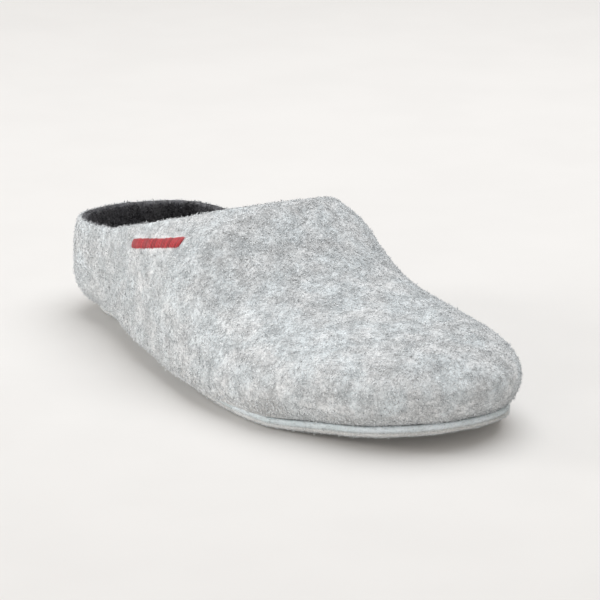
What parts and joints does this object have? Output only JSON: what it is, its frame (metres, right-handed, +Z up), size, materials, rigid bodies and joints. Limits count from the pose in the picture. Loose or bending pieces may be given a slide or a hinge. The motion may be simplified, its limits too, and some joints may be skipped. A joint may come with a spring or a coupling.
{
  "type": "felt slipper",
  "caption": "Open-backed house slipper: a hollow moulded felt body with a low collar and rounded toe, on a soft suede sole with a loose felt insole.",
  "frame": {"origin": "middle of the slipper's base, on the floor", "axes": "+X points to the toe, +Y to the inner (big toe) side, +Z up"},
  "size_m": [0.275, 0.116, 0.0728],
  "materials": {
    "felt": "thick heathered wool felt, light grey outside and charcoal inside, matt with a fine nap",
    "suede": "pale blue-grey suede, matt with a short raised nap",
    "insole_felt": "charcoal wool felt, matt"
  },
  "bodies": {
    "root": {"upper": "felt", "sole": "suede", "insole": "insole_felt"}
  },
  "joints": []
}
